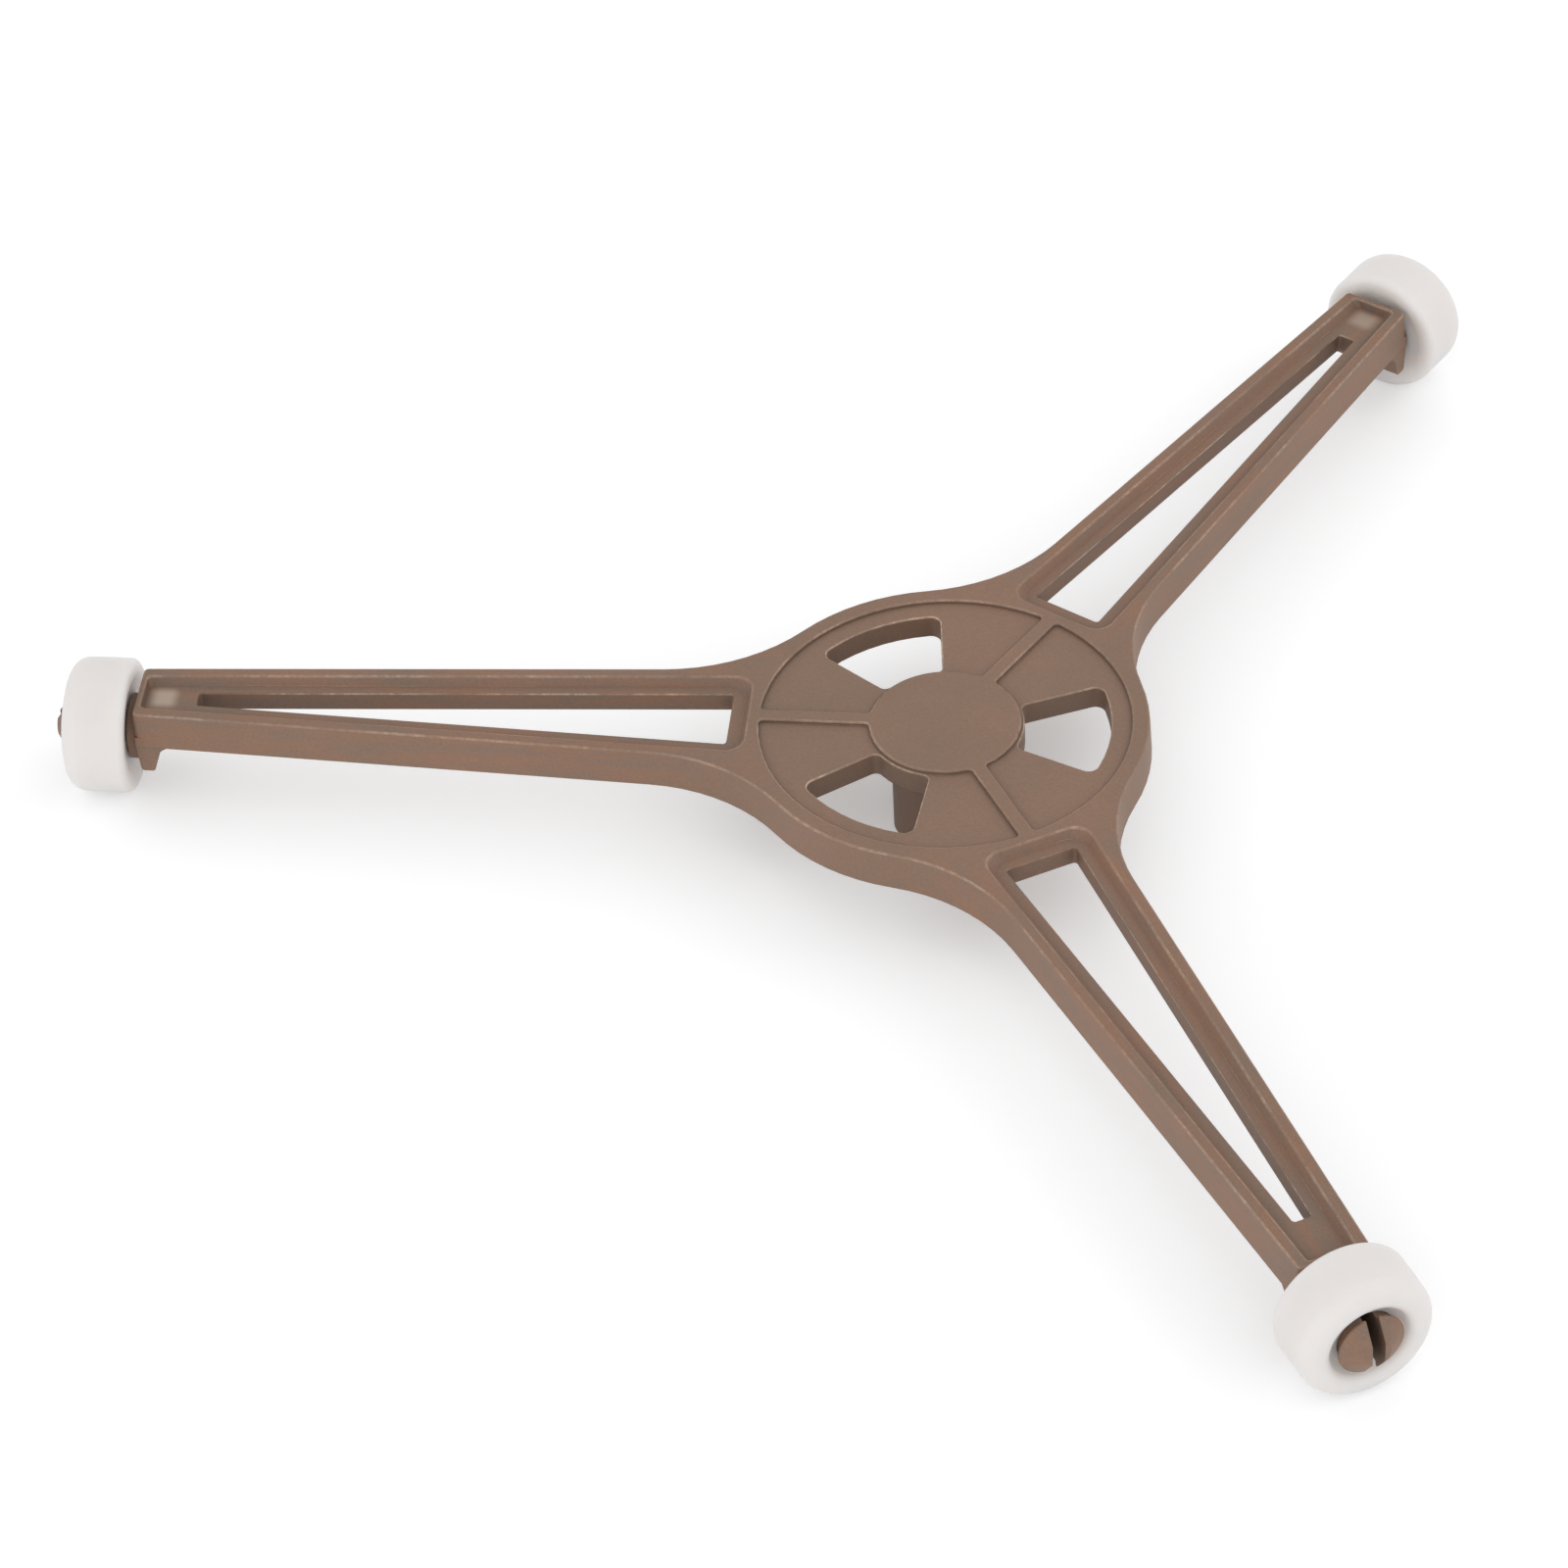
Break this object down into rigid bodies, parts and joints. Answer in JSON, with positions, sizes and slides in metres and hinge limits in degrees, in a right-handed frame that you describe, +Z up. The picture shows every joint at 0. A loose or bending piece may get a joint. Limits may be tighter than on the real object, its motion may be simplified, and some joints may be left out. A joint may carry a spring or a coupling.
{
  "type": "microwave turntable roller support",
  "caption": "Moulded turntable support for a microwave oven: a keyed drive socket under the hub turns slotted arms whose ends carry free-running push-on rollers.",
  "frame": {"origin": "centre of the drive socket's mouth under the hub, on the hub's axis, 0.45 mm above the plane the rollers run on", "axes": "+Z up along the hub's axis, towards the glass plate; -X along the left arm, with the other arms at 60 degrees either side of +X"},
  "size_m": [0.1476, 0.1682, 0.0143],
  "materials": {
    "spider_plastic": "fine matte brown, moulded, with paler scuffed edges",
    "roller_plastic": "smooth milky off-white, moulded"
  },
  "bodies": {
    "spider": {"spider": "spider_plastic"},
    "roller_left": {"roller_left": "roller_plastic"},
    "roller_far": {"roller_far": "roller_plastic"},
    "roller_near": {"roller_near": "roller_plastic"}
  },
  "joints": [
    {"name": "roll_left", "type": "hinge", "parent": "spider", "child": "roller_left", "pos_m": [-0.09035, 0, 0.00675], "axis": [-1, 0, 0], "continuous": true},
    {"name": "roll_far", "type": "hinge", "parent": "spider", "child": "roller_far", "pos_m": [0.04517, 0.07825, 0.00675], "axis": [0.5, 0.866, 0], "continuous": true},
    {"name": "roll_near", "type": "hinge", "parent": "spider", "child": "roller_near", "pos_m": [0.04517, -0.07825, 0.00675], "axis": [0.5, -0.866, 0], "continuous": true}
  ]
}
